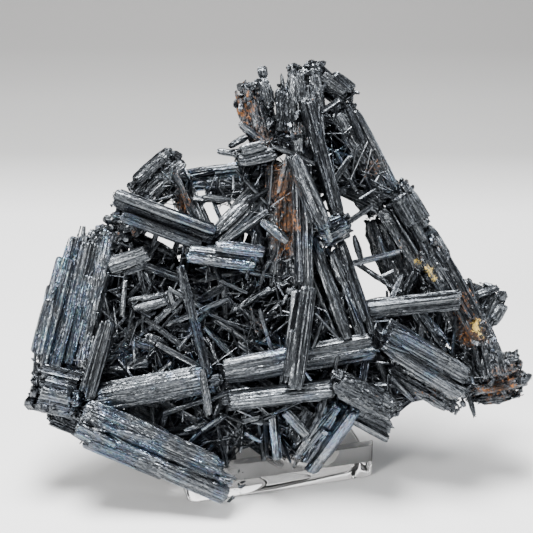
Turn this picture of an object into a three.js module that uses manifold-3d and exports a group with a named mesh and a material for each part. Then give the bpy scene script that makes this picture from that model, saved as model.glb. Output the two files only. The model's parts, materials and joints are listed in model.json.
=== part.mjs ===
// Stibnite crystal spray, set with putty on a small clear acrylic stand.
// Millimetres, +Z up. The origin is the middle of the stand's underside; the spray faces -Y.

import * as THREE from "three";
import { mergeVertices } from "three/addons/utils/BufferGeometryUtils.js";
import Module from "manifold-3d";

const wasm = await Module();
wasm.setup();

// The stand: a flat base plate with a lip along its front edge, turned a little under the spray.
const standWidth = 58.5;
const standDepth = 46;
const basePlateHeight = 4.2;
const standCornerRadius = 2.5;
const cornerSteps = 3;
const lipThickness = 3;
const lipTop = 11;
const standTurn = 15;

// The spray leans back on the stand. Its own frame is [across, back, up], before it leans.
const sprayLean = 24;
const sprayPlace = [5, -28, 0];

// Pieces that touch keep this much air between them.
const contactGap = 0.3;

// A bundle's blades are flattened hexagons in section; the single crystals between are diamonds.
const sectionShoulder = 0.34;

// Blades of one bundle overlap their neighbours, and their ends and thickness step in and out.
const bladeOverlap = 1.3;
const bladeStagger = [0, 0.6, 0.15, 0.9];
const bladeThinning = [1, 0.8, 0.94, 0.86];

// The single crystals between the bundles lie in one layer, each a little before or behind the last.
const crossingThickness = 3.2;
const crossingStagger = 0.7;

const finishes = {
  steel: { color: 0x6f757c, roughness: 0.35, metalness: 0.9 },
  bright: { color: 0xa4a9b0, roughness: 0.25, metalness: 0.95 },
  tarnished: { color: 0x4d5878, roughness: 0.35, metalness: 0.9 },
  weathered: { color: 0x5b5c58, roughness: 0.55, metalness: 0.6 },
  rusty: { color: 0x5f4330, roughness: 0.7, metalness: 0.3 },
  acrylic: { color: 0xe8ecee, roughness: 0.08, metalness: 0, transparent: true, opacity: 0.35 },
  putty: { color: 0xe4e0da, roughness: 0.85, metalness: 0 },
};

// Each crystal, or bundle of crystals grown side by side: its two ends, its width across (one number,
// or one for each end) and thickness through the spray, how many blades it has, and how far its
// blades' ends step. A slant moves the ends of the blades on one side of the bundle inwards.
const crystals = [
  // Left side: the tall slab, the corner below it, and the long blade that reaches down past the stand.
  { name: "lower_left_blade", from: [-59, -9, 25.2], to: [-11.2, -7.5, 4.2], width: [12, 8.6],
    thickness: 7.5, blades: 4, step: 3, finish: "tarnished" },
  { name: "left_slab", from: [-55.3, 1, 84.5], to: [-66.3, 0, 37.5], width: [13, 17.5], thickness: 9,
    blades: 4, step: 3, startSlant: 9, finish: "tarnished" },
  { name: "left_front_blade", from: [-50, -6.5, 55], to: [-57, -6.5, 31], width: 4, thickness: 4,
    blades: 2, step: 2, finish: "bright" },
  { name: "left_corner", from: [-57.5, -2, 31], to: [-73.8, -2.5, 35], width: [13, 11], thickness: 8.5,
    blades: 4, step: 2.5, finish: "steel" },
  { name: "under_left_ridge", from: [-69.5, 3, 27], to: [-42, 2.5, 15.6], width: 6, thickness: 7,
    blades: 3, step: 3, finish: "weathered" },
  { name: "inner_left_crystal", from: [-55, 3, 38], to: [-38, 4, 48], width: 7, thickness: 6,
    blades: 2, step: 3, finish: "tarnished" },
  { name: "left_mid_blade", from: [-53.5, 0, 68.5], to: [-37, -2, 72.8], width: 4.4, thickness: 5,
    blades: 2, step: 2, finish: "steel" },

  // The waist: bars that cross the spray from side to side.
  { name: "waist_blade_left", from: [-60.5, -4.5, 29], to: [-18.5, -7, 37.5], width: 6.6, thickness: 6,
    blades: 3, step: 3, finish: "tarnished" },
  { name: "waist_blade_right", from: [-16.8, -4.5, 38.6], to: [28, -6.5, 46.6], width: 5.6,
    thickness: 6, blades: 3, step: 3, finish: "bright" },
  { name: "lower_waist_blade", from: [-17.5, -7.5, 30.3], to: [15.5, -8.5, 34.2], width: 5.6,
    thickness: 6, blades: 3, step: 3, finish: "steel" },
  { name: "low_bar", from: [15, -9.5, 37], to: [34.5, -10.5, 27.2], width: 5.6, thickness: 6,
    blades: 2, step: 2, finish: "weathered" },

  // Upper left: the striated blade, the shoulder, and the bars behind them.
  { name: "upper_left_blade", from: [-50, -7, 89], to: [-19.5, -5, 77.5], width: 7.4, thickness: 7,
    blades: 4, step: 3, finish: "bright" },
  { name: "upper_mid_crystal", from: [-28.5, -8, 74.6], to: [-5, -5, 72.6], width: 5.6, thickness: 5,
    blades: 2, step: 2, finish: "tarnished" },
  { name: "brown_druse", from: [-54, 0, 76], to: [-43, 0, 85], width: 8.5, thickness: 8,
    blades: 3, step: 2, finish: "rusty" },
  { name: "shoulder_crystal", from: [-43, 2, 91.5], to: [-30.8, 2, 102.8], width: 6.8, thickness: 8,
    blades: 2, step: 1, finish: "weathered" },
  { name: "shoulder_leg", from: [-33.5, 5.5, 99], to: [-23, 0, 80.5], width: 5.8, thickness: 5,
    blades: 2, step: 2, finish: "rusty" },

  // The middle: the column and the laths that stand beside it.
  { name: "rust_column", from: [0.2, -0.5, 101], to: [1.7, -0.5, 62], width: 7.5, thickness: 6,
    blades: 3, step: 4, finish: "rusty" },
  { name: "column_upper", from: [6.3, -5, 99.5], to: [7.4, -9.5, 60.5], width: 3.9, thickness: 5,
    blades: 2, step: 3, finish: "steel" },
  { name: "column_lower", from: [7, -11.8, 64], to: [3.4, -13.8, 34], width: 5, thickness: 5,
    blades: 2, step: 2, finish: "steel" },
  { name: "rising_bundle", from: [-20, -3, 77], to: [-3.8, 0, 93.5], width: 5.6, thickness: 4,
    blades: 3, step: 3, finish: "steel" },
  { name: "top_bar_upper", from: [-29.3, 8, 96.6], to: [-1, 5, 99.5], width: 4.6, thickness: 6,
    blades: 3, step: 2, finish: "tarnished" },
  { name: "pale_beams", from: [-23.5, 3, 92.6], to: [-5.4, 4, 94.4], width: 5.4, thickness: 4.5,
    blades: 2, step: 2, finish: "bright" },
  { name: "knot", from: [11, -8, 78.8], to: [20.5, -9, 83], width: 6, thickness: 6,
    blades: 2, step: 1, finish: "bright" },
  { name: "long_lath", from: [7, -6, 120], to: [18, -9.5, 81], width: 3.8, thickness: 3,
    blades: 2, step: 2, finish: "steel" },
  { name: "v_lath", from: [2.8, -10.2, 102], to: [13, -13.8, 79], width: 3.8, thickness: 3,
    blades: 2, step: 2, finish: "steel" },
  { name: "mid_lath", from: [9, -6, 79], to: [20.3, -9, 48.5], width: 3.2, thickness: 3,
    blades: 1, step: 0, finish: "bright" },
  { name: "right_post", from: [16.6, -4.5, 77], to: [25.4, -7.5, 49.5], width: 5, thickness: 5,
    blades: 2, step: 3, finish: "steel" },
  { name: "bright_needle", from: [-29.5, -10, 70.5], to: [-21.2, -10.5, 38.5], width: 2.6,
    thickness: 2.4, blades: 1, step: 0, finish: "bright" },
  { name: "bright_bar", from: [18, -8.2, 70.2], to: [36, -1, 74.5], width: 1.8, thickness: 1.8,
    blades: 1, step: 0, finish: "bright" },

  // The top: the crown, the turret with its pin, and the plate below it.
  { name: "crown_post", from: [5.8, 0, 131], to: [7.2, 0, 101], width: [12, 10], thickness: 8,
    blades: 4, step: 7, finish: "weathered" },
  { name: "crown_bundle", from: [9, 2, 129.3], to: [21.8, 3, 120.8], width: 5.4, thickness: 7,
    blades: 3, step: 2, finish: "steel" },
  { name: "turret", from: [-9.4, 0, 125], to: [-3, 0, 104], width: [9.6, 6.6], thickness: 6.5,
    blades: 4, step: 3, finish: "rusty" },
  { name: "turret_pin", from: [-5.5, -2, 129.5], to: [-3.6, -2, 118], width: 2.7, thickness: 2.6,
    blades: 1, step: 0, finish: "weathered" },
  { name: "turret_plate", from: [-13.4, -4, 102], to: [-2.2, -3.5, 105.4], width: 4.8, thickness: 5,
    blades: 1, step: 0, finish: "steel" },

  // The ridge: a chain of thick crystals from the crown down to the right foot.
  { name: "ridge_upper", from: [17.6, 4, 120], to: [33.4, 4, 90.2], width: 7, thickness: 8,
    blades: 3, step: 4, finish: "steel" },
  { name: "ridge_inner", from: [13, 10.5, 117], to: [30.5, 9, 86.5], width: 9, thickness: 5,
    blades: 3, step: 3, finish: "rusty" },
  { name: "dark_diagonal", from: [13.5, 5, 97.3], to: [34.5, 4, 87], width: 4.2, thickness: 5,
    blades: 2, step: 2, finish: "steel" },
  { name: "ridge_shoulder", from: [35.2, 1, 94.3], to: [43, 2, 81.5], width: 6, thickness: 7,
    blades: 2, step: 1, finish: "steel" },
  { name: "ridge_mid", from: [32.5, 5, 92], to: [47, 5, 69.5], width: 9.5, thickness: 7.5,
    blades: 3, step: 3, finish: "weathered" },
  { name: "ridge_lower", from: [42, 4, 76.5], to: [61.5, 3, 43.5], width: 10, thickness: 8,
    blades: 4, step: 3, finish: "rusty" },
  { name: "ridge_web", from: [30.5, 8.5, 85.5], to: [41.5, 8, 57.5], width: 8.5, thickness: 6,
    blades: 3, step: 3, finish: "weathered" },
  { name: "cross_bar", from: [24, -4.5, 56.6], to: [55.5, -3, 60.4], width: 4.4, thickness: 5,
    blades: 2, step: 2, finish: "steel" },

  // Lower right: the foot of the ridge, the toes, and the broad striated blade.
  { name: "outer_post", from: [55.5, 8, 67], to: [60.5, 8, 49], width: 4, thickness: 5,
    blades: 2, step: 2, finish: "steel" },
  { name: "right_knob", from: [58, 11, 51.5], to: [66.5, 12, 62.5], width: 10, thickness: 7,
    blades: 4, step: 3, finish: "steel" },
  { name: "ridge_foot", from: [60.3, -1, 49.5], to: [63.5, -1, 36], width: 6.4, thickness: 6.5,
    blades: 2, step: 1, finish: "weathered" },
  { name: "right_blade", from: [29.5, -8, 50.2], to: [57.3, -8, 33.6], width: [6.4, 8], thickness: 5,
    blades: 4, step: 2, finish: "bright" },
  { name: "right_blade_under", from: [33, -3, 41.5], to: [54.8, -3, 29.8], width: [9.5, 8], thickness: 6,
    blades: 3, step: 3, finish: "weathered" },
  { name: "right_toes", from: [55, 3.5, 34], to: [73.3, 3, 37.4], width: [8, 12.5], thickness: 8,
    blades: 4, step: 3, finish: "rusty" },
  { name: "lower_right_tip", from: [19, -0.5, 27.5], to: [34, -1, 19.3], width: 4.6, thickness: 5,
    blades: 2, step: 1, finish: "steel" },
  { name: "bottom_bundle", from: [20, -3.5, 31], to: [6.8, 6, 10], width: 8.6, thickness: 8,
    blades: 4, step: 3, finish: "tarnished" },
  { name: "low_pale_blade", from: [11.4, -4, 29.4], to: [0.5, 7.5, 9.5], width: [3.6, 5],
    thickness: 4, blades: 2, step: 2, finish: "bright" },

  // The back: long blades that cross behind the spray and carry the rest.
  { name: "back_spar_upper", from: [-58, 9.5, 68], to: [14, 14, 60], width: 9, thickness: 7,
    blades: 4, step: 6, finish: "steel" },
  { name: "back_spar_rising", from: [-48, 13, 28], to: [23, 20, 62], width: 9, thickness: 7,
    blades: 4, step: 6, finish: "steel" },
  { name: "back_spar_low", from: [-20, 8, 22], to: [55, 9, 36], width: 8, thickness: 6.5,
    blades: 4, step: 6, finish: "weathered" },
  { name: "back_post", from: [-6, 16, 100], to: [-1, 13, 13], width: 8, thickness: 6.5,
    blades: 2, step: 6, finish: "steel" },
  { name: "back_strut", from: [47, 13, 62], to: [12, 17, 26], width: 7, thickness: 6,
    blades: 3, step: 6, finish: "weathered" },
];

// The single crystals that cross between the bundles and grow through each other. Each set is one
// solid: how far back its layer lies, and the two ends [across, up] and the width of each crystal.
const crossings = {
  needles: {
    back: 2.4,
    crystals: [
      // The left window, behind the long bright needle.
      { from: [-42.6, 71.4], to: [-28.5, 66], width: 3 },
      { from: [-40.2, 54.3], to: [-26.1, 44.1], width: 2.4 },
      { from: [-36.6, 47.1], to: [-20.6, 38.5], width: 2.4 },
      { from: [-24.6, 59.4], to: [-15.6, 64.8], width: 2.4 },
      { from: [-45, 60], to: [-30, 62.5], width: 2.4 },
      { from: [-33, 63.5], to: [-19, 55.5], width: 2.2 },
      { from: [-16.8, 64.4], to: [-15.6, 51.4], width: 2.4 },
      { from: [-41.1, 57], to: [-31.5, 60.9], width: 2.4 },
      { from: [-52.5, 37], to: [-39, 42.5], width: 3 },
      { from: [-50, 50], to: [-12, 60], width: 2.8 },
      { from: [-46, 68], to: [-18, 44], width: 2.8 },
      { from: [-26, 72], to: [-6, 52], width: 2.6 },

      // The middle, on both sides of the column.
      { from: [-19.5, 54.6], to: [-4.4, 44.2], width: 2.4 },
      { from: [-6, 57.5], to: [-2, 44], width: 2 },
      { from: [4.5, 59], to: [0.3, 35.5], width: 2.2 },
      { from: [-10, 52], to: [-8, 20], width: 2.6 },

      // Under the waist, down to the stand.
      { from: [-34, 26.5], to: [-14.5, 33.5], width: 2.4 },
      { from: [-14, 35], to: [-2, 25], width: 2.2 },
      { from: [-12, 40], to: [3, 31], width: 2.4 },
      { from: [-7.5, 30.5], to: [-4.8, 12.5], width: 2.2 },
      { from: [-2.4, 29.6], to: [-0.9, 13.1], width: 3 },
      { from: [-18.6, 23.2], to: [-15.9, 11.5], width: 2.2 },
      { from: [-23.1, 21.3], to: [-15.8, 26.3], width: 2.2 },
      { from: [-24, 24], to: [8, 20.5], width: 2.6 },
    ],
  },
  right_needles: {
    back: 4.5,
    crystals: [
      { from: [25.8, 56], to: [31.2, 45.5], width: 3 },
      { from: [27.6, 46.6], to: [34.5, 31], width: 2.2 },
      { from: [32.4, 40], to: [39.4, 33], width: 2.2 },
      { from: [23, 50], to: [43, 46], width: 2.6 },
      { from: [22, 42], to: [42, 40], width: 2.6 },
      { from: [29, 54], to: [38, 37], width: 2.6 },
    ],
  },
};

// The putty: flattened balls pressed down round the tips that stand on the base plate.
// Each is its middle [x, y] on the plate in the part's frame, and its three radii.
const puttyBalls = [
  { at: [0.5, -16.6], radii: [6, 4.4, 3.2] },
  { at: [9, -14.6], radii: [8, 5, 4.2] },
  { at: [17, -12], radii: [5.5, 4, 3.2] },
];

// A mesh geometry as a manifold solid, with its shared corners merged.
function solidFrom(geometry, matrix) {
  const plain = (geometry.index ? geometry.toNonIndexed() : geometry).clone();
  plain.deleteAttribute("normal");
  plain.deleteAttribute("uv");
  if (matrix) plain.applyMatrix4(matrix);
  const merged = mergeVertices(plain, 1e-4);
  return new wasm.Manifold(
    new wasm.Mesh({
      numProp: 3,
      vertProperties: merged.attributes.position.array,
      triVerts: new Uint32Array(merged.index.array),
    }),
  );
}

// A manifold solid as a flat-shaded mesh geometry.
function geometryFrom(solid) {
  const mesh = solid.getMesh();
  const geometry = new THREE.BufferGeometry();
  geometry.setAttribute("position", new THREE.BufferAttribute(new Float32Array(mesh.vertProperties), 3));
  geometry.setIndex(new THREE.BufferAttribute(new Uint32Array(mesh.triVerts), 1));
  const flat = geometry.toNonIndexed();
  flat.computeVertexNormals();
  return flat;
}

// One prism along local Z, centred on the origin.
function prismGeometry(width, thickness, length, shoulder) {
  const flat = shoulder * width;
  const corners = [
    [-width / 2, 0],
    [-flat, -thickness / 2],
    [flat, -thickness / 2],
    [width / 2, 0],
    [flat, thickness / 2],
    [-flat, thickness / 2],
  ];
  const kept = shoulder === 0 ? corners.filter((corner, i) => i % 3 !== 2) : corners;
  const section = new THREE.Shape(kept.map(([x, y]) => new THREE.Vector2(x, y)));
  const prism = new THREE.ExtrudeGeometry(section, { depth: length, bevelEnabled: false });
  return prism.translate(0, 0, -length / 2);
}

// The matrix that stands local Z along a crystal, with local Y towards the back of the spray.
function crystalMatrix(start, end) {
  const along = new THREE.Vector3().subVectors(end, start).normalize();
  const across = new THREE.Vector3(0, 1, 0).cross(along).normalize();
  const back = new THREE.Vector3().crossVectors(along, across);
  const middle = new THREE.Vector3().addVectors(start, end).multiplyScalar(0.5);
  return new THREE.Matrix4().makeBasis(across, back, along).setPosition(middle);
}

// One blade between two points, grown outwards by a clearance.
function bladeSolid(start, end, width, thickness, clearance, shoulder = sectionShoulder) {
  const length = start.distanceTo(end) + 2 * clearance;
  const blade = prismGeometry(width + 2 * clearance, thickness + 2 * clearance, length, shoulder);
  return solidFrom(blade, crystalMatrix(start, end));
}

// A bundle of blades side by side, joined in one solid, grown outwards by a clearance.
function bundleSolid(crystal, clearance) {
  const { blades, step, thickness, startSlant = 0, endSlant = 0 } = crystal;
  const [startWidth, endWidth] = [crystal.width].flat().concat(crystal.width).slice(0, 2);
  const start = new THREE.Vector3(...crystal.from);
  const end = new THREE.Vector3(...crystal.to);
  const across = new THREE.Vector3();
  const back = new THREE.Vector3();
  const along = new THREE.Vector3();
  crystalMatrix(start, end).extractBasis(across, back, along);
  const overlap = blades === 1 ? 1 : bladeOverlap / blades;
  let solid = null;
  for (let i = 0; i < blades; i += 1) {
    const share = blades === 1 ? 0 : i / (blades - 1) - 0.5;
    const startIn = step * bladeStagger[i % bladeStagger.length] + startSlant * (share + 0.5);
    const endIn = step * bladeStagger[(i + 2) % bladeStagger.length] + endSlant * (share + 0.5);
    const bladeStart = start
      .clone()
      .addScaledVector(across, share * startWidth * (1 - overlap))
      .addScaledVector(along, startIn);
    const bladeEnd = end
      .clone()
      .addScaledVector(across, share * endWidth * (1 - overlap))
      .addScaledVector(along, -endIn);
    const width = overlap * Math.max(startWidth, endWidth);
    const bladeThickness = thickness * bladeThinning[i % bladeThinning.length];
    const blade = bladeSolid(bladeStart, bladeEnd, width, bladeThickness, clearance);
    solid = solid ? solid.add(blade) : blade;
  }
  return solid;
}

// A set of single crystals that grow through each other, joined in one solid.
function crossingSolid({ back, crystals: set }, clearance) {
  return set
    .map(({ from, to, width }, i) => {
      const depth = back + crossingStagger * ((i % 3) - 1);
      const start = new THREE.Vector3(from[0], depth, from[1]);
      const end = new THREE.Vector3(to[0], depth, to[1]);
      return bladeSolid(start, end, width, crossingThickness, clearance, 0);
    })
    .reduce((all, crystal) => all.add(crystal));
}

// The largest of the bodies that a cut leaves.
function largestBody(solid) {
  return solid.decompose().reduce((best, body) => (body.volume() > best.volume() ? body : best));
}

// The stand: a plate with rounded upright corners, as tall as the lip, with the room behind the
// lip cut away down to the base plate.
function standSolid(clearance) {
  const turn = new THREE.Matrix4().makeRotationZ(THREE.MathUtils.degToRad(standTurn));
  const radius = standCornerRadius;
  const x = standWidth / 2 + clearance - radius;
  const y = standDepth / 2 + clearance - radius;
  const outline = new THREE.Shape();
  outline.absarc(x, y, radius, 0, Math.PI / 2);
  outline.absarc(-x, y, radius, Math.PI / 2, Math.PI);
  outline.absarc(-x, -y, radius, Math.PI, 1.5 * Math.PI);
  outline.absarc(x, -y, radius, 1.5 * Math.PI, 2 * Math.PI);
  const plate = new THREE.ExtrudeGeometry(outline, {
    depth: lipTop + clearance,
    bevelEnabled: false,
    curveSegments: cornerSteps,
  });
  const room = new THREE.BoxGeometry(2 * standWidth, standDepth, lipTop);
  room.translate(0, lipThickness + clearance, basePlateHeight + clearance + lipTop / 2);
  return solidFrom(plate, turn).subtract(solidFrom(room, turn));
}

function puttySolid() {
  return puttyBalls
    .map(({ at, radii }) => {
      const ball = new THREE.SphereGeometry(1, 9, 6);
      ball.scale(...radii);
      ball.translate(at[0], at[1], basePlateHeight);
      return solidFrom(ball);
    })
    .reduce((all, ball) => all.add(ball));
}

// A solid moved by a matrix.
function moved(solid, matrix) {
  return solid.transform(Array.from(matrix.elements));
}

function addMesh(group, name, solid, finish) {
  const material = new THREE.MeshStandardMaterial(finishes[finish]);
  const mesh = new THREE.Mesh(geometryFrom(solid), material);
  mesh.name = name;
  group.add(mesh);
}

const model = new THREE.Group();
addMesh(model, "acrylic_stand", standSolid(0), "acrylic");

// The spray leans back over the stand; its crystals are modelled in its own upright frame.
const spray = new THREE.Group();
spray.rotation.x = THREE.MathUtils.degToRad(-sprayLean);
spray.position.set(...sprayPlace);
spray.updateMatrix();
model.add(spray);

// The room already taken in the spray's frame. Each crystal gives way to what came before it, so
// that what touches keeps the contact gap; the stand comes first.
const taken = [moved(standSolid(contactGap), spray.matrix.clone().invert())];

function growInPlace(name, grow, finish) {
  const solid = taken.reduce((left, room) => left.subtract(room), grow(0));
  addMesh(spray, name, largestBody(solid), finish);
  taken.push(grow(contactGap));
}

for (const crystal of crystals) {
  growInPlace(crystal.name, (clearance) => bundleSolid(crystal, clearance), crystal.finish);
}
for (const [name, set] of Object.entries(crossings)) {
  growInPlace(name, (clearance) => crossingSolid(set, clearance), "steel");
}

// The putty fills the room that is left round the tips.
const putty = taken.reduce((left, room) => left.subtract(moved(room, spray.matrix)), puttySolid());
addMesh(model, "putty", largestBody(putty), "putty");

export default model;
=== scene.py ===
import json
import math

import bpy
import bmesh
import numpy as np
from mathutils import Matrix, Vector
from mathutils.bvhtree import BVHTree


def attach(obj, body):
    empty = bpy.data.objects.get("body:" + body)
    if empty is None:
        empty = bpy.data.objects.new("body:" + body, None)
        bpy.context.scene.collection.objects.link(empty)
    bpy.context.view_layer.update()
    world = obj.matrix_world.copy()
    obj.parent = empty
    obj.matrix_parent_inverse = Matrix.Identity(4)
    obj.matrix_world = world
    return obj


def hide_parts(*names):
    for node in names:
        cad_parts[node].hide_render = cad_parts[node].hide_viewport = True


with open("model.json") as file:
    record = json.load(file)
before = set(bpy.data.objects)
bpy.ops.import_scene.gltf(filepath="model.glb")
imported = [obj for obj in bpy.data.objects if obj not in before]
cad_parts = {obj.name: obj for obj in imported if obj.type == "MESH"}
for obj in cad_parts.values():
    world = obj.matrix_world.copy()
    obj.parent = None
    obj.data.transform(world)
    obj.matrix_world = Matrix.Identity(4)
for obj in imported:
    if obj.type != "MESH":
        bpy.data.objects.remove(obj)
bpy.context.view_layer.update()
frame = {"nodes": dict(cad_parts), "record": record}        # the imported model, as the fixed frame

mm = 0.001


# ---- shared helpers ----

def addObject(name, mesh):
    made = bpy.data.objects.new(name, mesh)
    bpy.context.scene.collection.objects.link(made)
    return made


def readSolid(node):
    # a CAD node's points in millimetres, its triangles and a ray tree
    mesh = frame["nodes"][node].data
    mesh.calc_loop_triangles()
    points = np.zeros(len(mesh.vertices) * 3, np.float32)
    mesh.vertices.foreach_get("co", points)
    points = points.reshape(-1, 3).astype(float) / mm
    corners = np.zeros(len(mesh.loop_triangles) * 3, np.int32)
    mesh.loop_triangles.foreach_get("vertices", corners)
    corners = corners.reshape(-1, 3)
    tree = BVHTree.FromPolygons(points.tolist(), corners.tolist())
    return points, corners, tree


def slotOf(node):
    for part in frame["record"]["subparts"]:
        if part["node"] == node:
            return part["material_slot"]
    return None


# ---- the spray's lean, shared by all that is placed on its face ----

spray = {
    "lean": 24,                       # degrees back from upright
    "foot": (0.005, -0.028, 0.0),     # where its own frame starts, on the stand
}
faceOut = Vector((0, -math.cos(math.radians(spray["lean"])), math.sin(math.radians(spray["lean"]))))


# ---- node tree helpers ----

def link(tree, source, target):
    tree.links.new(source, target)


def noiseNode(tree, vector, scale, detail=4.0, roughness=0.6, distortion=0.0):
    made = tree.nodes.new("ShaderNodeTexNoise")
    made.inputs["Scale"].default_value = scale
    made.inputs["Detail"].default_value = detail
    made.inputs["Roughness"].default_value = roughness
    made.inputs["Distortion"].default_value = distortion
    link(tree, vector, made.inputs["Vector"])
    return made.outputs["Fac"]


def rampNode(tree, value, stops):
    made = tree.nodes.new("ShaderNodeValToRGB")
    ramp = made.color_ramp
    while len(ramp.elements) > 1:
        ramp.elements.remove(ramp.elements[0])
    ramp.elements[0].position = stops[0][0]
    ramp.elements[0].color = (*stops[0][1], 1)
    for position, color in stops[1:]:
        ramp.elements.new(position).color = (*color, 1)
    link(tree, value, made.inputs["Fac"])
    return made.outputs["Color"]


def rangeNode(tree, value, low, high, toLow=0.0, toHigh=1.0):
    made = tree.nodes.new("ShaderNodeMapRange")
    made.interpolation_type = "SMOOTHSTEP"
    for name, number in (("From Min", low), ("From Max", high), ("To Min", toLow), ("To Max", toHigh)):
        made.inputs[name].default_value = number
    link(tree, value, made.inputs["Value"])
    return made.outputs["Result"]


def mathNode(tree, operation, first, second):
    made = tree.nodes.new("ShaderNodeMath")
    made.operation = operation
    for socket, given in zip(made.inputs, (first, second)):
        if isinstance(given, (int, float)):
            socket.default_value = given
        else:
            link(tree, given, socket)
    return made.outputs[0]


def mixColor(tree, factor, first, second, blend="MIX"):
    made = tree.nodes.new("ShaderNodeMix")
    made.data_type = "RGBA"
    made.blend_type = blend
    for socket, given in ((made.inputs[0], factor), (made.inputs[6], first), (made.inputs[7], second)):
        if isinstance(given, (int, float)):
            socket.default_value = given
        elif isinstance(given, tuple):
            socket.default_value = (*given, 1)
        else:
            link(tree, given, socket)
    return made.outputs[2]


def attributeNode(tree, name, output="Fac"):
    made = tree.nodes.new("ShaderNodeAttribute")
    made.attribute_name = name
    return made.outputs[output]


def vectorMath(tree, operation, *given):
    made = tree.nodes.new("ShaderNodeVectorMath")
    made.operation = operation
    for socket, value in zip(made.inputs, given):
        if isinstance(value, tuple):
            socket.default_value = value
        else:
            link(tree, value, socket)
    return made.outputs["Vector"]


def objectPlace(tree):
    return tree.nodes.new("ShaderNodeTexCoord").outputs["Object"]


def newMaterial(name):
    made = bpy.data.materials.new(name)
    made.use_nodes = True
    tree = made.node_tree
    return made, tree, tree.nodes["Principled BSDF"]


# ---- stibnite finishes ----

stibnite = {
    "streaksAcross": 1.9,     # streaks per millimetre across a crystal
    "streaksAlong": 0.014,    # and along it
    # small mirrors that each turn a little away from the surface, long ones and short ones: how many
    # lie in a millimetre across and along the grain
    "facets": (2.2, 0.13),
    "grains": (3.0, 1.7),
    "facetTurn": 0.26,        # how far a long one turns; a finish says how far the short ones do
    "grooveDepth": 0.00012,
    "darkMetal": (0.018, 0.020, 0.024),
    "midMetal": (0.094, 0.102, 0.112),
    "paleMetal": (0.34, 0.358, 0.375),
    "crustDark": (0.018, 0.013, 0.010),
    "crustBrown": (0.060, 0.028, 0.014),
    "crustOchre": (0.32, 0.115, 0.022),
    "ochreYellow": (0.62, 0.44, 0.11),
    "film": (0.020, 0.022, 0.023),
    "filmPale": (0.120, 0.130, 0.135),
}

# how much of each finish shows: tarnish colour, rust, dull crust, how bright the metal is, how far
# its small grains turn, and how broken up its streaks are
stibniteFinishes = {
    "stibnite": {
        "tarnish": 0.44, "rust": 0.18, "dull": 0.28, "bright": 0.41, "sparkle": 0.20, "broken": 0.45,
    },
    "stibnite_bright": {
        "tarnish": 0.62, "rust": 0.06, "dull": 0.26, "bright": 0.34, "sparkle": 0.14, "broken": 0.25,
    },
    "stibnite_tarnished": {
        "tarnish": 0.88, "rust": 0.10, "dull": 0.18, "bright": 0.60, "sparkle": 0.34, "broken": 0.6,
    },
    "stibnite_weathered": {
        "tarnish": 0.24, "rust": 0.32, "dull": 0.34, "bright": 0.50, "sparkle": 0.42, "broken": 0.9,
    },
    "stibnite_rusty": {
        "tarnish": 0.10, "rust": 0.42, "dull": 0.40, "bright": 0.44, "sparkle": 0.46, "broken": 1.0,
    },
}

# thin films on the metal, as tints that keep its brightness
tarnishTints = [
    (0.36, (1.60, 1.30, 0.50)),
    (0.42, (1.10, 0.92, 1.05)),
    (0.46, (0.82, 0.80, 1.35)),
    (0.51, (0.52, 0.95, 1.50)),
    (0.57, (0.52, 1.15, 1.20)),
    (0.64, (1.40, 1.25, 0.55)),
]


def stretched(tree, vector, across, along):
    made = tree.nodes.new("ShaderNodeMapping")
    made.inputs["Scale"].default_value = (across, across, along)
    link(tree, vector, made.inputs["Vector"])
    return made.outputs["Vector"]


def weighted(tree, *parts):
    # a sum of fields, each given as (field, weight)
    total = 0.0
    for field, weight in parts:
        total = mathNode(tree, "ADD", mathNode(tree, "MULTIPLY", field, weight), total)
    return total


def cellColors(tree, grain, across, along):
    # long or short cells along the grain, each of a chance colour
    cells = tree.nodes.new("ShaderNodeTexVoronoi")
    cells.inputs["Scale"].default_value = 1.0
    link(tree, stretched(tree, grain, across, along), cells.inputs["Vector"])
    return cells.outputs["Color"]


def smallMirrors(tree, grain, base, across, along, turn):
    # small flat cells along the crystal, each turned its own way
    centred = vectorMath(tree, "SUBTRACT", cellColors(tree, grain, across, along), (0.5, 0.5, 0.5))
    return vectorMath(tree, "NORMALIZE", vectorMath(tree, "MULTIPLY_ADD", centred, (turn,) * 3, base))


def cellShade(tree, grain, across, along):
    # a chance grey for each small mirror
    parts = tree.nodes.new("ShaderNodeSeparateColor")
    link(tree, cellColors(tree, grain, across, along), parts.inputs[0])
    return parts.outputs["Green"]


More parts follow.
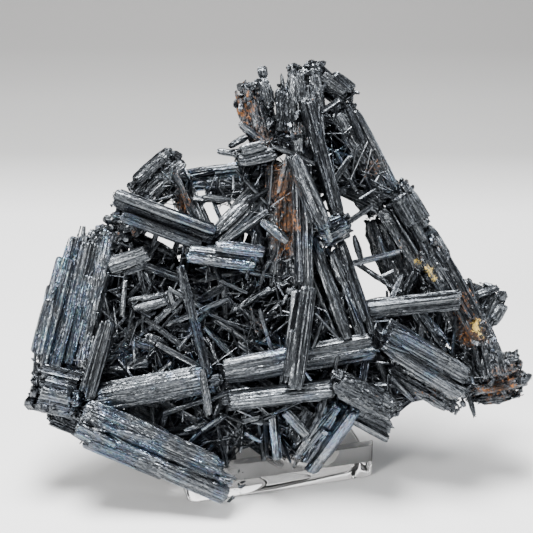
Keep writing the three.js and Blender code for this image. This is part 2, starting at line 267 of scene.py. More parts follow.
def makeStibnite(slot, finish):
    material, tree, shader = newMaterial(slot)
    grain = attributeNode(tree, "grain", "Vector")
    tone, rustStain, ochreStain = [attributeNode(tree, name) for name in ("tone", "rustStain", "ochreStain")]
    place = objectPlace(tree)

    across, along = stibnite["streaksAcross"], stibnite["streaksAlong"]
    streak = noiseNode(tree, stretched(tree, grain, across, along), 1.0, 4.0, 0.62)
    broken = finish["broken"]
    hair = noiseNode(tree, stretched(tree, grain, across * 3.0, along * (2 + 7 * broken)), 1.0, 3.0, 0.6)
    patch = noiseNode(tree, place, 75.0, 4.0, 0.6, 0.4)       # patches about 13 mm across
    blotch = noiseNode(tree, place, 230.0, 5.0, 0.65, 0.8)    # blotches about 4 mm across
    fleck = noiseNode(tree, place, 950.0, 4.0, 0.7)           # flecks about 1 mm across

    # the metal: the streaks that set the bump's grooves also paint them dark and the ridges pale, painted
    # groove shade over the metal's own streaks; from blade to blade a little lighter or darker, by chance and
    # by the painted shade that the blades carry
    brightnessAndPaintedShade = finish["bright"] * 0.34 - 0.17
    mirrors = cellShade(tree, grain, *stibnite["grains"])
    light = weighted(tree, (streak, 0.58 - 0.14 * broken), (hair, 0.26), (fleck, 0.04 + 0.12 * broken),
                     (mirrors, 0.12), (tone, 0.06))
    light = mathNode(tree, "ADD", light, brightnessAndPaintedShade)
    metal = rampNode(tree, light, [
        (0.35, stibnite["darkMetal"]),
        (0.50, stibnite["midMetal"]),
        (0.74, stibnite["paleMetal"]),
    ])

    # tarnish follows the streaks, in patches
    tint = rampNode(tree, weighted(tree, (streak, 0.38), (blotch, 0.28), (fleck, 0.34)), tarnishTints)
    edge = 0.66 - 0.26 * finish["tarnish"]
    tarnishMask = rangeNode(tree, patch, edge, edge + 0.14, 0.0, min(1.0, 0.40 + finish["tarnish"] * 0.5))
    tarnishMask = mathNode(tree, "MULTIPLY", tarnishMask, rangeNode(tree, hair, 0.42, 0.60, 0.08, 1.0))
    color = mixColor(tree, tarnishMask, metal, mixColor(tree, 1.0, metal, tint, "MULTIPLY"))

    # dull grey film, then rust and a few yellow specks, in patches that break up into flecks
    edge = 0.70 - 0.28 * finish["dull"]
    dullField = weighted(tree, (blotch, 0.6), (fleck, 0.4))
    dullMask = rangeNode(tree, dullField, edge - 0.05, edge + 0.07, 0.0, 0.85)
    film = rampNode(tree, fleck, [(0.35, stibnite["film"]), (0.64, stibnite["filmPale"])])
    color = mixColor(tree, dullMask, color, film)
    edge = 0.74 - 0.32 * finish["rust"]
    rustField = weighted(tree, (patch, 0.34), (streak, 0.26), (fleck, 0.40), (rustStain, 0.165))
    rustMask = rangeNode(tree, rustField, edge - 0.04, edge + 0.05)
    rust = rampNode(tree, weighted(tree, (fleck, 0.6), (blotch, 0.4)), [
        (0.40, stibnite["crustDark"]),
        (0.52, stibnite["crustBrown"]),
        (0.62, stibnite["crustOchre"]),
    ])
    color = mixColor(tree, rustMask, color, rust)
    ochreField = weighted(tree, (blotch, 0.3), (fleck, 0.7), (ochreStain, 0.30))
    ochreMask = rangeNode(tree, ochreField, 0.72, 0.80)
    color = mixColor(tree, ochreMask, color, stibnite["ochreYellow"])
    link(tree, color, shader.inputs["Base Color"])

    matte = mathNode(tree, "MAXIMUM", rustMask, mathNode(tree, "MULTIPLY", dullMask, 0.8))
    matte = mathNode(tree, "MAXIMUM", matte, ochreMask)
    link(tree, mathNode(tree, "SUBTRACT", 1.0, matte), shader.inputs["Metallic"])
    polish = rangeNode(tree, hair, 0.30, 0.68, 0.48 - 0.14 * finish["bright"], 0.22)
    link(tree, weighted(tree, (polish, 1.0), (matte, 0.42)), shader.inputs["Roughness"])

    grooves = tree.nodes.new("ShaderNodeBump")
    grooves.inputs["Strength"].default_value = 0.85
    grooves.inputs["Distance"].default_value = stibnite["grooveDepth"]
    crustHeight = mathNode(tree, "ADD", mathNode(tree, "MULTIPLY", matte, 1.3), 0.25)
    crust = mathNode(tree, "MULTIPLY", fleck, crustHeight)
    link(tree, weighted(tree, (streak, 1.0), (hair, 0.35), (crust, 1.0)), grooves.inputs["Height"])
    facing = smallMirrors(tree, grain, grooves.outputs["Normal"], *stibnite["facets"], stibnite["facetTurn"])
    facing = smallMirrors(tree, grain, facing, *stibnite["grains"], finish["sparkle"])
    link(tree, facing, shader.inputs["Normal"])
    return material


materials = {slot: makeStibnite(slot, finish) for slot, finish in stibniteFinishes.items()}
print("stibnite finishes ready:", len(materials))


# ---- crystals: bundles of striated blades, grown inside each CAD solid ----

bundle = {
    "bladeDepth": (1.6, 3.4),  # how thick a bundle's blades are, millimetres
    "shoulder": (0.26, 0.40),  # where a blade's broad sides end, as a share of its width
    "cornerShift": 0.03,       # how far its corners lie off, as a share of its width
    "stripWidth": 0.34,        # one flat strip between two striations
    "stripShift": 0.32,        # how uneven the strips are, as a share of one
    "grooveShare": 0.045,      # groove depth for each millimetre of a blade's width
    "deepestGroove": 0.17,
    "ringEvery": 2.4,          # a step along a blade
    "ragged": 0.75,            # how unevenly the blades end
    "endRound": 0.20,          # how far the outer blades end short, for each millimetre of width
    "splinterWidth": (0.4, 1.5),
    # crystals broken off at a slant: how much sooner the blades on one side end, millimetres
    "slantedEnds": {"lower_left_blade": 9.0, "right_blade": 5.0},
}

# for each kind of crystal: its blades' widths, how far one runs before another takes its place,
# how crumbled it is, how far its ends step, and how many splinters lie on it
wear = {
    "stibnite": {
        "widths": (1.5, 3.6), "breakEvery": 17, "ragged": 1.2,
        "crumble": 0.018, "ends": 2.4, "splinters": 0.13,
    },
    "stibnite_bright": {
        "widths": (2.0, 4.6), "breakEvery": 26, "ragged": 0.7,
        "crumble": 0.012, "ends": 1.1, "splinters": 0.09,
    },
    "stibnite_tarnished": {
        "widths": (2.2, 4.8), "breakEvery": 22, "ragged": 0.9,
        "crumble": 0.020, "ends": 1.2, "splinters": 0.15,
    },
    "stibnite_weathered": {
        "widths": (1.2, 3.0), "breakEvery": 9, "ragged": 1.7,
        "crumble": 0.065, "ends": 2.8, "splinters": 0.17,
    },
    "stibnite_rusty": {
        "widths": (1.1, 2.8), "breakEvery": 8, "ragged": 2.0,
        "crumble": 0.085, "ends": 2.6, "splinters": 0.17,
    },
}


class Strands:
    # collects the corners and faces of many blades for one mesh

    def __init__(self):
        self.points, self.faces, self.grain, self.tone = [], [], [], []
        self.count = 0

    def addRing(self, points, grain, tone):
        first = self.count
        self.points.append(points)
        self.grain.append(grain)
        self.tone.append(tone)
        self.count += len(points)
        return first

    def joinRings(self, low, high, sides):
        for j in range(sides):
            k = (j + 1) % sides
            self.faces.append((low + j, low + k, high + k, high + j))

    def closeEnd(self, ring, middle, sides, atStart):
        for j in range(sides):
            k = (j + 1) % sides
            self.faces.append((ring + k, ring + j, middle) if atStart else (ring + j, ring + k, middle))

    def addBlade(self, rng, base, axes, startAt, endAt, width, depth, slant=(0.0, 0.0), turn=0.0,
                 kind="stibnite", fine=1.0, taper=(0.0, 0.0), brightnessAndPaintedShade=0.0):
        # one striated blade: a flattened hexagon whose sides are cut into flat strips
        across, out, along = axes
        length = endAt - startAt
        shoulder = rng.uniform(*bundle["shoulder"])
        lower = [(-0.5, 0), (-shoulder, -0.5), (shoulder, -0.5)]
        corners = np.array(lower + [(-x, -y) for x, y in lower])
        corners = corners * (width, depth) + rng.normal(0, bundle["cornerShift"], (6, 2)) * (width, depth)
        steps = np.roll(corners, -1, 0) - corners
        sideLengths = np.linalg.norm(steps, axis=1)
        outline, outward = [], []
        for corner, step, sideLength in zip(corners, steps, sideLengths):
            strips = max(1, int(sideLength / (bundle["stripWidth"] * fine)))
            uneven = rng.uniform(-1, 1, strips) * bundle["stripShift"]
            uneven[0] = 0
            for cut in (np.arange(strips) + uneven) / strips:
                outline.append(corner + step * cut)
                outward.append((step[1] / sideLength, -step[0] / sideLength))
        outline, outward = np.array(outline), np.array(outward)
        sides = len(outline)
        groove = min(bundle["grooveShare"] * width + 0.05, bundle["deepestGroove"])
        fineHeights = rng.uniform(-1, 1, sides)
        broadHeights = np.repeat(rng.uniform(-1, 1, sides), 3)[:sides]
        heights = (fineHeights + broadHeights) * 0.6 * groove
        crumble = wear[kind]["crumble"]
        ragged = wear[kind]["ragged"] * bundle["ragged"]
        rings = max(3, 2 + int(length / bundle["ringEvery"]))
        stations = np.linspace(0, 1, rings)
        stations[1:-1] += rng.uniform(-0.3, 0.3, rings - 2) / rings
        drift = np.stack([
            np.linspace(rng.uniform(-1, 1) * far, rng.uniform(-1, 1) * far, rings) for far in slant
        ], 1)
        walk = np.cumsum(rng.normal(0, (0.08 + 1.2 * crumble) * groove, (rings, sides)), 0)
        slopes = rng.uniform(-1, 1, (2, 2)) * 0.28 * ragged
        cosine, sine = math.cos(turn), math.sin(turn)
        spin = np.array([[cosine, sine], [-sine, cosine]])
        shift = rng.uniform(-40, 40, 3)
        # a chance grey for the blade, plus the painted shade it is given (darker for crystals that lie deep);
        # below, each strip is painted darker the lower it sits in its groove and paler on a ridge, painted
        # groove shade
        tone = rng.uniform(-1, 1) + brightnessAndPaintedShade
        stripToneAndGrooveShade = tone + 0.8 * heights / groove
        reach = min(0.4 * length, 6.0)

        def ringAt(scale, lift, z, roughness, grooves):
            near = max(0.0, 1 - (z - startAt) / reach), max(0.0, 1 - (endAt - z) / reach)
            scale = scale * (1 - taper[0] * near[0] ** 1.5) * (1 - taper[1] * near[1] ** 1.5)
            corner = outline * scale + outward * grooves[:, None] * scale
            corner = corner + rng.normal(0, roughness, corner.shape)
            zs = z + rng.normal(0, roughness, sides) * 1.5 + (corner @ lift)
            turned = corner @ spin
            place = base + turned[:, :1] * across + turned[:, 1:] * out + zs[:, None] * along
            return place, np.stack([corner[:, 0], corner[:, 1], zs], 1) + shift, stripToneAndGrooveShade

        def shifted(ring, offset):
            return ring[0] + offset[0] * across + offset[1] * out, ring[1], ring[2]

        endChip = min(0.45 * ragged + 0.15, length * 0.2)
        made = []
        for i, station in enumerate(stations):
            z = startAt + endChip + station * (length - 2 * endChip)
            lift = slopes[0] if i == 0 else slopes[1] if i == rings - 1 else np.zeros(2)
            ring = ringAt(1 + rng.normal(0, 0.012), lift, z, crumble, heights + walk[i])
            made.append(self.addRing(*shifted(ring, drift[i])))
        for low, high in zip(made[:-1], made[1:]):
            self.joinRings(low, high, sides)
        for end, z in ((0, startAt), (-1, endAt)):
            body, offset = made[end], drift[end]
            rounded = ringAt(rng.uniform(0.78, 0.93), slopes[end], z, crumble + 0.05 * ragged, heights * 0.6)
            chipped = self.addRing(*shifted(rounded, offset))
            flat = ringAt(rng.uniform(0.35, 0.6), slopes[end], z, crumble + 0.16 * ragged, heights * 0.3)
            inner = self.addRing(*shifted(flat, offset))
            tip = base + offset[0] * across + offset[1] * out + (z + rng.normal(0, 0.15 * ragged)) * along
            middle = self.addRing(tip[None, :], shift[None, :], np.array([tone]))
            if end == 0:
                self.joinRings(chipped, body, sides)
                self.joinRings(inner, chipped, sides)
            else:
                self.joinRings(body, chipped, sides)
                self.joinRings(chipped, inner, sides)
            self.closeEnd(inner, middle, sides, end == 0)

    def toMesh(self, name, scale=mm):
        points = np.concatenate(self.points) * scale
        mesh = bpy.data.meshes.new(name)
        mesh.from_pydata(points.tolist(), [], self.faces)
        grain = mesh.attributes.new("grain", "FLOAT_VECTOR", "POINT")
        grain.data.foreach_set("vector", np.concatenate(self.grain).astype(np.float32).ravel())
        # each corner's grey: chance tone together with painted shade, deep blades and groove bottoms darker
        tone = mesh.attributes.new("tone", "FLOAT", "POINT")
        tone.data.foreach_set("value", np.concatenate(self.tone).astype(np.float32))
        return mesh


def crystalAxes(points, corners):
    # the grain runs where the sides' normals don't point; the broad side faces out of the spray
    edges = points[corners]
    normals = np.cross(edges[:, 1] - edges[:, 0], edges[:, 2] - edges[:, 0])
    areas = np.linalg.norm(normals, axis=1) + 1e-9
    spread = (normals / areas[:, None]).T @ normals
    values, vectors = np.linalg.eigh(spread)
    along = vectors[:, 0]
    if along[2] + 0.3 * along[0] < 0:
        along = -along
    out = vectors[:, 2]
    out = out - along * (out @ along)
    out /= np.linalg.norm(out)
    if out @ np.array(faceOut) < 0:
        out = -out
    across = np.cross(out, along)
    return across, out, along


def insideStretches(tree, start, direction, reach):
    # the stretches of a ray that lie inside the solid
    hits = []
    travelled = 0.0
    while travelled < reach and len(hits) < 12:
        begin = Vector(start + direction * travelled)
        spot, normal, index, distance = tree.ray_cast(begin, Vector(direction), reach)
        if spot is None:
            break
        travelled += distance + 1e-3
        hits.append((travelled, normal.dot(Vector(direction))))
    stretches = []
    entered = None
    for distance, facing in hits:
        if facing < 0:
            entered = distance
        elif entered is not None:
            stretches.append((entered, distance))
            entered = None
    return stretches


def unevenCells(rng, low, high, sizes):
    # cuts a stretch into cells of uneven size, given as (middle, size)
    count = max(1, round((high - low) / (0.5 * (sizes[0] + sizes[1]))))
    shares = rng.uniform(*sizes, count)
    edges = low + np.concatenate([[0], np.cumsum(shares)]) / shares.sum() * (high - low)
    return [((a + b) / 2, b - a) for a, b in zip(edges[:-1], edges[1:])]


def growBundle(node, seed):
    rng = np.random.default_rng(seed)
    points, corners, tree = readSolid(node)
    axes = crystalAxes(points, corners)
    local = points @ np.stack(axes, 1)
    low, high = local.min(0), local.max(0)
    size = high - low
    slot = slotOf(node)
    across, out, along = axes
    strands = Strands()
    margin = 1.0
    reach = size[2] + 2 * margin
    single = size[0] < 3.4

    middle = (low + high) / 2
    slantedEnd = bundle["slantedEnds"].get(node, 0.0)

    def addAlong(a, f, width, depth, loose):
        # one line of blades: where one breaks off the next takes over, a little out of line
        start = across * a + out * f + along * (low[2] - margin)
        for entered, left in insideStretches(tree, start, along, reach):
            length = left - entered
            if length < max(1.0, 0.4 * width):
                continue
            pieces = 1 if single else 1 + int(rng.uniform(0, 1.2) * length / wear[slot]["breakEvery"])
            cuts = np.sort(rng.uniform(0.12, 0.88, pieces - 1)) * length
            cuts = np.concatenate([[0], cuts, [length]])
            stepIn = min(wear[slot]["ends"], 0.16 * length) * (0.35 if single else 1.0)
            side = (2 * (a - middle[0]) / size[0]) ** 2 + 0.4 * (2 * (f - middle[1]) / size[1]) ** 2
            rounded = 0.0 if single else min(bundle["endRound"] * size[0] * side, 0.2 * length)
            slanted = slantedEnd * max(0.0, 0.5 - (a - middle[0]) / size[0]) ** 1.3
            for k in range(pieces):
                overlap = rng.uniform(0.8, 3.2, 2)
                startAt = cuts[k] + (rng.uniform(-0.25, 1.0) * stepIn if k == 0 else -overlap[0])
                endAt = cuts[k + 1] - (rng.uniform(-0.25, 1.0) * stepIn if k == pieces - 1 else -overlap[1])
                startAt += low[2] - margin + entered + (rounded + slanted if k == 0 else 0)
                endAt += low[2] - margin + entered - (rounded if k == pieces - 1 else 0)
                if endAt - startAt < 0.8:
                    continue
                grown = rng.uniform(0.86, 1.12) if pieces > 1 else 1.0
                aside = rng.uniform(-0.14, 0.14, 2) * (width, depth) * loose
                base = across * (a + aside[0]) + out * (f + aside[1])
                taper = rng.uniform(0.0, 0.45, 2) ** 1.4
                slant = (0.09 * width * loose, 0.09 * depth * loose)
                strands.addBlade(rng, base, axes, startAt, endAt, width * grown, depth * grown, slant,
                                 rng.normal(0, 0.13 * loose), slot, 1.0, taper)

    # blades side by side and one behind the other
    for f, depth in unevenCells(rng, low[1], high[1], bundle["bladeDepth"]):
        for a, width in unevenCells(rng, low[0], high[0], wear[slot]["widths"] if not single else (3, 4)):
            loose = 0.0 if single else 1.0
            swell = rng.uniform(1.25, 1.6, 2) if not single else np.ones(2)
            shift = rng.uniform(-0.18, 0.18, 2) * (width, depth) * loose
            addAlong(a + shift[0], f + shift[1], width * swell[0], depth * swell[1], loose)

    # thin splinters on the outside, a little across the grain
    splinters = int(size[0] * size[2] * wear[slot]["splinters"]) if size[0] > 3.5 else 0
    for k in range(splinters):
        side = 1 if k % 5 else -1
        width = rng.uniform(*bundle["splinterWidth"])
        a = rng.uniform(low[0] + width / 2, high[0] - width / 2)
        z = rng.uniform(low[2], high[2])
        outside = across * a + out * (side * 60 + (low[1] + high[1]) / 2) + along * z
        spot = tree.ray_cast(Vector(outside), Vector(out * -side), 120)[0]
        if spot is None:
            continue
        length = min(rng.uniform(2.5, 14.0), 0.6 * size[2])
        startAt = max(low[2] + 0.07 * size[2], z - length / 2)
        endAt = min(high[2] - 0.07 * size[2], z + length / 2)
        if endAt - startAt < 2:
            continue
        turned = rng.normal(0, 0.10)
        splinterAxes = (
            across * math.cos(turned) - along * math.sin(turned),
            out,
            along * math.cos(turned) + across * math.sin(turned),
        )
        centre = across * a + out * (float(np.array(spot) @ out) - side * width * 0.05)
        centre = centre + along * (startAt + endAt) / 2
        half = (endAt - startAt) / 2
        strands.addBlade(rng, centre, splinterAxes, -half, half, width, width * rng.uniform(0.5, 0.9),
                         (0.01 * length, 0.02 * length), rng.uniform(-0.5, 0.5), slot, 1.3, (0.4, 0.4))
    return strands.toMesh(node + "Bundle"), slot


print("growing the crystals")
notBundles = ("acrylic_stand", "putty", "needles", "right_needles")
crystalPieces = []
for index, node in enumerate(sorted(frame["nodes"])):
    if node in notBundles:
        continue
    mesh, slot = growBundle(node, 100 + index)
    piece = addObject(node + "_crystals", mesh)
    mesh.materials.append(materials[slot])
    crystalPieces.append((piece, node, slot))
faceCount = sum(len(piece.data.polygons) for piece, node, slot in crystalPieces)
print("crystals grown:", len(crystalPieces), "faces:", faceCount)


# ---- the spray's own frame: millimetres across, out towards the viewer, and up its face ----

sprayAcross = np.array((1.0, 0.0, 0.0))
sprayOut = np.array(faceOut)
sprayUp = np.cross(sprayOut, sprayAcross)
sprayFoot = np.array(spray["foot"]) / mm


def sprayPoint(u, w, v):
    return sprayFoot + sprayAcross * u + sprayOut * w + sprayUp * v


def bladeBetween(strands, rng, start, end, width, depth, kind, fine=1.0, taper=(0.25, 0.25), brightnessAndPaintedShade=0.0):
    # a single crystal between two points, its broad side facing out of the spray
    run = end - start
    length = np.linalg.norm(run)
    along = run / length
    out = sprayOut - along * (sprayOut @ along)
    out /= np.linalg.norm(out)
    axes = (np.cross(out, along), out, along)
    half = length / 2
    strands.addBlade(rng, (start + end) / 2, axes, -half, half, width, depth, (0.02 * width, 0.02 * width),
                     rng.normal(0, 0.35), kind, fine, taper, brightnessAndPaintedShade)


# ---- single crystals that cross between the bundles ----

# each: both ends across and up the face, its width, how far out it lies, and its finish
crossingCrystals = {
    "stibnite": [
        (-40.2, 54.3, -26.1, 44.1, 2.0, 2.0), (-24.6, 59.4, -15.6, 64.8, 2.4, 3.0),
        (-21.3, 71.4, -21.0, 60.4, 1.7, 1.0), (-16.8, 64.4, -15.6, 51.4, 2.4, 1.5),
        (-21.0, 56.1, -9.1, 50.3, 1.6, 4.0), (-22.2, 49.7, -18.0, 40.7, 1.4, 2.5),
        (-12.6, 47.5, -5.9, 42.2, 1.6, 4.0), (-29.1, 58.6, -36.0, 50.9, 0.9, 4.0),
        (-42.6, 71.4, -28.5, 66.0, 3.0, 2.5), (-41.1, 70.7, -36.0, 77.2, 1.4, 4.0),
        (-52.5, 37.0, -39.0, 42.5, 3.0, 1.0), (-29.5, 100.0, -20.5, 79.0, 2.5, 0.5),
        (-17.4, 76.5, -3.6, 86.4, 2.2, 5.0), (-7.5, 80.0, -9.9, 66.2, 1.5, 7.5),
        (-34.0, 26.5, -14.5, 33.5, 2.0, 6.5), (-7.5, 30.5, -4.8, 12.5, 1.6, 3.0),
        (-4.8, 30.5, -3.9, 14.0, 1.6, 4.5), (-18.6, 23.2, -15.9, 10.4, 1.9, 3.0),
        (-23.1, 17.4, -14.4, 19.2, 1.4, 3.0), (-17.4, 26.2, -11.0, 23.6, 1.5, 4.0),
        (-11.1, 26.0, -12.0, 14.6, 1.4, 2.0), (-28.5, 21.3, -23.0, 23.1, 1.5, 4.0),
        (3.6, 102.0, 9.9, 83.4, 3.0, 11.0), (21.6, 79.0, 23.7, 72.2, 2.0, 9.0),
        (12.0, 53.5, 9.3, 46.1, 1.4, 9.0), (25.8, 44.6, 24.0, 33.8, 2.4, 6.0),
        (16.8, 44.0, 15.3, 34.3, 1.4, 8.0), (8.7, 54.5, 6.3, 36.5, 2.0, 9.5),
        (36.3, 67.6, 32.7, 59.3, 1.8, 2.0), (29.4, 79.0, 31.2, 73.4, 1.4, 2.0),
        (20.7, 83.4, 28.0, 88.4, 1.8, 0.0), (12.3, 116.0, 17.8, 119.6, 2.0, 4.0),
        (-12.0, 112.4, -5.0, 106.9, 2.4, 5.0), (-18.6, 104.6, -10.9, 103.2, 2.0, 3.5),
        (-2.4, 105.3, 10.8, 100.0, 1.6, 9.0), (2.4, 103.4, -0.6, 91.9, 1.6, 8.0),
        (41.7, 52.5, 41.4, 44.6, 1.8, 6.0), (32.4, 37.6, 39.4, 30.5, 2.0, 7.0),
        (13.8, 35.6, 11.4, 25.6, 2.4, 8.0), (-21.6, 36.0, -17.4, 37.4, 3.6, 10.0),
        (-8.0, 60.0, 4.0, 66.0, 1.6, 3.0), (-14.0, 57.0, -3.0, 63.5, 1.8, 5.0),
        (-33.0, 63.5, -19.0, 55.5, 1.7, 3.5), (-45.0, 60.0, -30.0, 62.5, 2.0, 1.0),
        (10.0, 62.0, 12.5, 48.0, 1.6, 4.0), (15.5, 74.0, 24.0, 55.0, 1.8, 7.5),
        (-14.0, 35.0, -2.0, 25.0, 1.8, 5.0), (20.0, 117.5, 29.5, 98.0, 2.4, 0.2),
        (26.5, 111.0, 33.5, 95.5, 2.0, 0.0), (17.0, 113.0, 23.0, 101.0, 1.8, 0.4),
        (35.0, 91.5, 44.5, 73.5, 2.2, -0.6), (38.5, 88.0, 48.0, 70.5, 1.8, -0.8),
        (33.5, 87.0, 41.0, 74.0, 1.6, -0.4), (45.0, 76.0, 57.0, 54.5, 2.4, 0.4),
        (50.5, 72.5, 61.0, 52.0, 2.0, 0.2), (43.5, 70.0, 53.0, 55.0, 1.6, 0.6),
        (39.5, 84.5, 43.5, 77.5, 2.6, 0.6), (52.0, 60.0, 58.5, 47.0, 1.8, 0.8),
        (30.0, 101.0, 36.0, 91.0, 1.7, 0.2), (-40.0, 31.5, -25.0, 24.0, 2.2, 1.5),
        (21.0, 103.0, 14.0, 92.0, 2.0, 2.0), (-53.5, 71.0, -49.5, 47.0, 5.5, -3.5),
        (-51.0, 36.0, -35.0, 44.5, 5.0, -4.5), (-49.0, 80.0, -32.0, 73.0, 5.5, -2.5),
        (-50.0, 31.5, -29.0, 20.5, 5.0, -3.5), (-47.0, 33.5, -30.0, 28.0, 5.0, -4.0),
        (-73.0, 46.0, -58.0, 40.5, 5.0, -1.0), (-72.0, 41.0, -66.0, 28.0, 5.0, 0.5),
    ],
    "stibnite_bright": [
        (-36.6, 47.1, -20.6, 38.5, 2.4, 4.5), (-24.0, 57.0, -14.9, 61.0, 1.5, 6.0),
        (-17.7, 66.0, -9.8, 62.3, 1.3, 7.0), (-23.1, 90.6, -14.8, 90.0, 2.4, 4.0),
        (4.5, 59.0, 0.3, 35.5, 2.2, 5.5), (10.2, 56.5, 17.8, 48.2, 1.0, 12.0),
        (-2.4, 29.6, -0.9, 13.1, 3.0, 5.0), (-23.1, 21.3, -15.8, 26.3, 1.8, 5.5),
        (-6.0, 57.5, -2.0, 44.0, 1.3, 6.0), (30.0, 66.9, 33.8, 68.7, 1.2, 3.0),
        (-12.0, 69.0, -1.0, 67.0, 1.3, 5.5), (20.0, 62.0, 24.5, 50.5, 1.5, 9.5),
        (9.5, 92.0, 14.5, 77.0, 1.7, 13.0), (-30.0, 46.0, -24.0, 53.0, 1.1, 5.5),
    ],
    "stibnite_tarnished": [
        (-26.1, 90.3, -15.8, 90.0, 2.2, 2.0), (-21.0, 92.0, -16.0, 80.0, 1.4, 3.0),
        (1.5, 27.4, 7.9, 20.6, 3.0, 7.5), (-2.4, 26.7, 8.9, 32.1, 1.0, 10.0),
        (9.0, 68.0, 17.4, 48.2, 1.7, 6.0), (-5.4, 83.5, 2.2, 77.5, 3.0, 5.0),
        (-10.5, 20.7, -5.6, 18.1, 1.5, 5.0), (-45.0, 47.5, -33.0, 44.5, 2.4, 0.5),
        (6.0, 40.0, 13.0, 29.0, 2.2, 6.5), (19.5, 29.0, 7.6, 11.5, 2.6, 1.4),
        (16.8, 29.5, 4.8, 13.0, 2.4, 1.8), (14.4, 29.0, 3.6, 15.0, 2.0, 1.2),
        (21.8, 27.5, 10.6, 11.5, 2.2, 1.0),
    ],
    "stibnite_weathered": [
        (-22.8, 40.0, -20.7, 26.9, 2.4, 11.0), (-41.1, 57.0, -31.5, 60.9, 2.4, 2.0),
        (-39.5, 49.0, -34.0, 46.0, 3.2, 2.0), (-19.5, 54.6, -4.4, 44.2, 2.2, 3.0),
        (-31.2, 97.6, -24.9, 83.6, 2.2, 3.0), (25.8, 58.2, 31.2, 45.5, 4.0, 3.5),
        (27.6, 46.6, 34.5, 29.0, 2.2, 2.0), (22.8, 71.0, 35.8, 62.5, 1.6, 1.0),
        (-15.0, 105.9, -9.5, 108.9, 2.2, 4.0), (39.6, 57.7, 49.1, 43.9, 4.0, 2.0),
        (60.0, 61.5, 66.3, 63.6, 2.2, -7.0), (56.4, 31.6, 57.9, 25.6, 1.6, 3.0),
        (-4.8, 69.4, -6.9, 59.5, 1.4, 4.0), (-8.7, 58.0, -7.2, 50.6, 1.0, 6.0),
        (-12.0, 40.0, 3.0, 31.0, 2.4, 3.0), (6.0, 112.0, 13.0, 103.0, 2.2, 3.0),
    ],
}

crossingPieces = []
for number, (slot, rows) in enumerate(sorted(crossingCrystals.items())):
    rng = np.random.default_rng(300 + number)
    strands = Strands()
    for u1, v1, u2, v2, width, front in rows:
        lean = rng.normal(0, 0.09) * math.hypot(u2 - u1, v2 - v1)
        start = sprayPoint(u1, front - lean, v1)
        end = sprayPoint(u2, front + lean, v2)
        bladeBetween(strands, rng, start, end, width, width * rng.uniform(0.6, 0.95), slot, 0.8,
                     rng.uniform(0, 0.45, 2))
    piece = addObject("crossing_" + slot, strands.toMesh("crossing_" + slot))
    piece.data.materials.append(materials[slot])
    crossingPieces.append((piece, slot))
print("crossing crystals grown:", sum(len(rows) for rows in crossingCrystals.values()))


# ---- where the smaller crystals lie ----

# regions of the face, by their corners, and how many large, middling and fine crystals fill each,
# how deep the large ones lie behind, and how far out the fine ones come
fillRegions = {
    "left": {"corners": [(-52, 80), (-39, 78), (-28, 73), (-5, 72), (-4, 47), (-20, 38), (-40, 34), (-56, 34),
                         (-52, 52)], "large": 84, "middling": 90, "fine": 200, "back": 7, "front": 4},
    "middle": {"corners": [(-8, 71), (6, 75), (20, 51), (6, 45), (-20, 41)],
               "large": 34, "middling": 60, "fine": 150, "back": 5, "front": 6},
    "right": {"corners": [(6, 78), (20, 76), (25, 62), (32, 58), (44, 51), (35, 45), (21, 48), (8, 50)],
              "large": 26, "middling": 40, "fine": 90, "back": 5, "front": 6},
    "waist": {"corners": [(-42, 36), (-20, 39), (15, 43), (35, 46), (32, 30), (15, 27), (-9, 16), (-20, 19),
                          (-32, 26), (-46, 31)],
              "large": 60, "middling": 60, "fine": 130, "back": 5, "front": 5},
    "corner": {"corners": [(-73, 45), (-58, 47), (-56, 33), (-60, 25), (-70, 28), (-75, 34)],
               "large": 22, "middling": 26, "fine": 40, "back": 0, "front": 4},
    "lowLeft": {"corners": [(-50, 33), (-20, 38), (-12, 28), (-14, 16), (-30, 22), (-46, 30)],
                "large": 50, "middling": 30, "fine": 60, "back": 3, "front": 2},
    "foot": {"corners": [(-27, 28), (12, 30), (5, 22), (0, 17), (-12, 15), (-19, 17)],
             "large": 24, "middling": 40, "fine": 100, "back": 2, "front": 4},
    "shoulder": {"corners": [(-40, 99), (-24, 99), (-5, 92), (-5, 77), (-23, 78), (-38, 86)],
                 "large": 12, "middling": 26, "fine": 90, "back": 5, "front": 3},
    "cavern": {"corners": [(4, 119), (16, 118), (28, 103), (34, 92), (20, 90), (10, 88), (3, 98)],
               "large": 30, "middling": 26, "fine": 90, "back": 6, "front": 2},
    "neck": {"corners": [(-9, 108), (6, 112), (10, 90), (-4, 78), (-10, 90)],
             "large": 10, "middling": 20, "fine": 80, "back": 5, "front": 5},
    "rightFoot": {"corners": [(28, 58), (44, 56), (62, 40), (56, 32), (34, 30), (27, 42)],
                  "large": 26, "middling": 30, "fine": 110, "back": 6, "front": 3},
}

# openings that stay clear, where one can see through the spray: across and up, lowest and highest
openings = [
    (-23.1, -17.4, 80.5, 87.0), (-18.0, -16.5, 83.4, 86.4), (-14.1, -12.9, 82.8, 84.3),
    (-13.2, -11.1, 87.9, 89.1), (-34.8, -31.8, 86.1, 87.9), (-24.9, -21.9, 93.3, 94.5),
    (-2.4, 0.6, 111.8, 118.2), (19.2, 22.8, 86.4, 90.3), (21.0, 31.5, 71.8, 86.0),
    (22.0, 32.6, 59.6, 69.6), (25.5, 32.4, 67.5, 71.4),
]

smallCrystal = {
    "large": {"length": (12, 34), "width": (1.8, 4.2), "tilt": 0.16},
    "middling": {"length": (7, 22), "width": (0.9, 2.3), "tilt": 0.22},
    "fine": {"length": (3.5, 14), "width": (0.35, 1.1), "tilt": 0.34},
}


def insidePolygon(u, v, corners):
    inside = False
    for (u1, v1), (u2, v2) in zip(corners, corners[1:] + corners[:1]):
        if (v1 > v) != (v2 > v) and u < (u2 - u1) * (v - v1) / (v2 - v1) + u1:
            inside = not inside
    return inside


